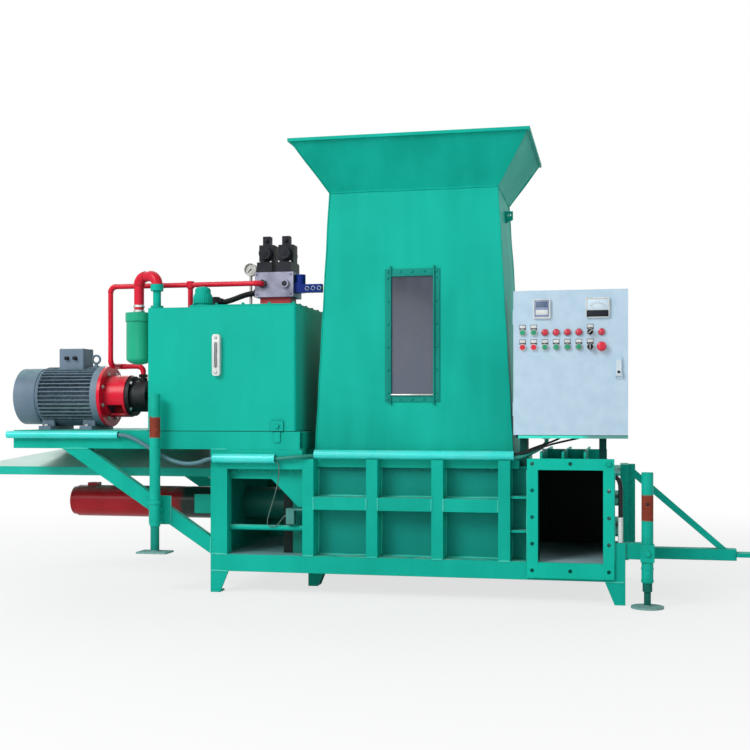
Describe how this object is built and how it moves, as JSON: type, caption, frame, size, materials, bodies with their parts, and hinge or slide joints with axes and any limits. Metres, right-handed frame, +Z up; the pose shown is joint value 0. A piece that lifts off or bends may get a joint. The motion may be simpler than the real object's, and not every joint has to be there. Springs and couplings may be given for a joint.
{
  "type": "horizontal silage baler",
  "caption": "Green horizontal hydraulic silage baler: tall flared hopper over a ribbed press chamber, flanged bale outlet, motor and oil tank deck, jacks, drawbar and control cabinet.",
  "frame": {"origin": "middle of the machine's bounding box, on the ground", "axes": "+X along the press from motor deck to drawbar, +Y from the outlet side to the ejector side, +Z up"},
  "size_m": [3.7099, 1.988, 2.002],
  "materials": {
    "teal_paint": "satin",
    "hopper_paint": "satin",
    "tray_paint": "matt, dusty",
    "dark_paint": "satin",
    "crimson_paint": "gloss",
    "ram_paint": "worn",
    "bare_steel": "bright",
    "chrome_rod": "polished",
    "jack_paint": "satin, primer band",
    "motor_paint": "satin",
    "pump_iron": "painted dark",
    "block_metal": "machined",
    "blue_paint": "gloss",
    "filter_paint": "gloss",
    "black_plastic": "fine grain",
    "cable": "matt",
    "gauge_white": "clear edged",
    "cabinet_paint": "fine texture",
    "meter_face": "gloss",
    "trim_metal": "satin",
    "lamp_red": "translucent",
    "green_plastic": "gloss",
    "red_plastic": "gloss",
    "pane": "tinted",
    "switch_shell": "satin"
  },
  "bodies": {
    "machine": {"base_frame": "teal_paint", "press_chamber": "teal_paint", "chamber_ribs": "teal_paint", "bay_frame": "teal_paint", "ejection_box": "teal_paint", "outlet_flange": "teal_paint", "hopper": "hopper_paint", "hopper_flare": "hopper_paint", "window_frame": "teal_paint", "window_pane": "pane", "motor_deck": "teal_paint", "side_tray": "tray_paint", "conduit_pipes": "teal_paint", "wiring": "cable", "limit_switch": "switch_shell", "drawbar": "teal_paint", "main_cylinder": "crimson_paint", "ejector_cylinder": "crimson_paint", "oil_tank": "teal_paint", "tank_lid": "teal_paint", "level_gauge": "gauge_white", "oil_pipes": "crimson_paint", "return_filter": "filter_paint", "valve_block": "block_metal", "solenoid_valves": "black_plastic", "pressure_gauge": "bare_steel", "blue_manifold": "blue_paint", "motor_frame": "motor_paint", "fan_cowl": "motor_paint", "bell_housing": "crimson_paint", "pump": "pump_iron", "cabinet_stand": "dark_paint", "cabinet_box": "cabinet_paint"},
    "ram": {"ram_rod": "chrome_rod", "press_head": "ram_paint"},
    "ejector": {"ejector_rod": "chrome_rod", "push_plate": "ram_paint"},
    "filler_cap": {"filler_cap": "teal_paint"},
    "gauge_needle": {"gauge_needle": "black_plastic"},
    "motor_rotor": {"motor_rotor": "bare_steel"},
    "right_jack_tube": {"right_jack_tube": "jack_paint"},
    "right_jack_leg": {"right_jack_leg": "jack_paint"},
    "left_jack_tube": {"left_jack_tube": "jack_paint"},
    "left_jack_leg": {"left_jack_leg": "jack_paint"},
    "door": {"cabinet_door": "cabinet_paint", "panel_meters": "meter_face", "indicator_lamps": "lamp_red", "button_rings": "trim_metal"},
    "door_handle": {"door_handle": "bare_steel"},
    "upper_selector": {"upper_selector": "black_plastic"},
    "lower_selector": {"lower_selector": "black_plastic"},
    "emergency_stop": {"emergency_stop": "red_plastic"},
    "green_button_1": {"green_button_1": "green_plastic"},
    "green_button_2": {"green_button_2": "green_plastic"},
    "red_button_1": {"red_button_1": "red_plastic"},
    "red_button_2": {"red_button_2": "red_plastic"},
    "green_button_3": {"green_button_3": "green_plastic"},
    "green_button_4": {"green_button_4": "green_plastic"},
    "green_button_5": {"green_button_5": "green_plastic"},
    "green_button_6": {"green_button_6": "green_plastic"}
  },
  "joints": [
    {"name": "ram_slide", "type": "slide", "parent": "machine", "child": "ram", "axis": [1, 0, 0], "range_m": [0, 0.96]},
    {"name": "ejector_slide", "type": "slide", "parent": "machine", "child": "ejector", "axis": [0, -1, 0], "range_m": [0, 0.8]},
    {"name": "filler_cap_turn", "type": "hinge", "parent": "machine", "child": "filler_cap", "pos_m": [-0.642, -0.775, 1.294], "axis": [0, 0, 1], "range_deg": [0, 120]},
    {"name": "needle_turn", "type": "hinge", "parent": "machine", "child": "gauge_needle", "pos_m": [-0.456, -0.617, 1.473], "axis": [0, 1, 0], "range_deg": [0, 270], "stiffness_Nm_per_rad": 0.002},
    {"name": "motor_spin", "type": "hinge", "parent": "machine", "child": "motor_rotor", "pos_m": [-1.265, -0.625, 0.884], "axis": [1, 0, 0], "continuous": true},
    {"name": "right_jack_swing", "type": "hinge", "parent": "machine", "child": "right_jack_tube", "pos_m": [1.343, -0.927, 0.226], "axis": [0, -1, 0], "range_deg": [0, 90]},
    {"name": "right_jack_slide", "type": "slide", "parent": "right_jack_tube", "child": "right_jack_leg", "axis": [0, 0, 1], "range_m": [-0.15, 0.09]},
    {"name": "left_jack_swing", "type": "hinge", "parent": "machine", "child": "left_jack_tube", "pos_m": [-0.806, -0.945, 0.365], "axis": [0, -1, 0], "range_deg": [0, 90]},
    {"name": "left_jack_slide", "type": "slide", "parent": "left_jack_tube", "child": "left_jack_leg", "axis": [0, 0, 1], "range_m": [-0.176, 0.09]},
    {"name": "door_swing", "type": "hinge", "parent": "machine", "child": "door", "pos_m": [0.79, -0.863, 1.014], "axis": [0, 0, -1], "range_deg": [0, 110]},
    {"name": "door_handle_lift", "type": "hinge", "parent": "door", "child": "door_handle", "pos_m": [1.228, -0.894, 0.959], "axis": [1, 0, 0], "range_deg": [0, 70]},
    {"name": "green_button_1_press", "type": "slide", "parent": "door", "child": "green_button_1", "axis": [0, 1, 0], "range_m": [0, 0.004], "stiffness_N_per_m": 500},
    {"name": "green_button_2_press", "type": "slide", "parent": "door", "child": "green_button_2", "axis": [0, 1, 0], "range_m": [0, 0.004], "stiffness_N_per_m": 500},
    {"name": "red_button_1_press", "type": "slide", "parent": "door", "child": "red_button_1", "axis": [0, 1, 0], "range_m": [0, 0.004], "stiffness_N_per_m": 500},
    {"name": "red_button_2_press", "type": "slide", "parent": "door", "child": "red_button_2", "axis": [0, 1, 0], "range_m": [0, 0.004], "stiffness_N_per_m": 500},
    {"name": "green_button_3_press", "type": "slide", "parent": "door", "child": "green_button_3", "axis": [0, 1, 0], "range_m": [0, 0.004], "stiffness_N_per_m": 500},
    {"name": "green_button_4_press", "type": "slide", "parent": "door", "child": "green_button_4", "axis": [0, 1, 0], "range_m": [0, 0.004], "stiffness_N_per_m": 500},
    {"name": "green_button_5_press", "type": "slide", "parent": "door", "child": "green_button_5", "axis": [0, 1, 0], "range_m": [0, 0.004], "stiffness_N_per_m": 500},
    {"name": "green_button_6_press", "type": "slide", "parent": "door", "child": "green_button_6", "axis": [0, 1, 0], "range_m": [0, 0.004], "stiffness_N_per_m": 500},
    {"name": "upper_selector_turn", "type": "hinge", "parent": "door", "child": "upper_selector", "pos_m": [1.111, -0.885, 1.142], "axis": [0, 1, 0], "range_deg": [-90, 0]},
    {"name": "lower_selector_turn", "type": "hinge", "parent": "door", "child": "lower_selector", "pos_m": [1.111, -0.885, 1.08], "axis": [0, 1, 0], "range_deg": [-45, 45]},
    {"name": "emergency_stop_press", "type": "slide", "parent": "door", "child": "emergency_stop", "axis": [0, 1, 0], "range_m": [0, 0.006]}
  ]
}
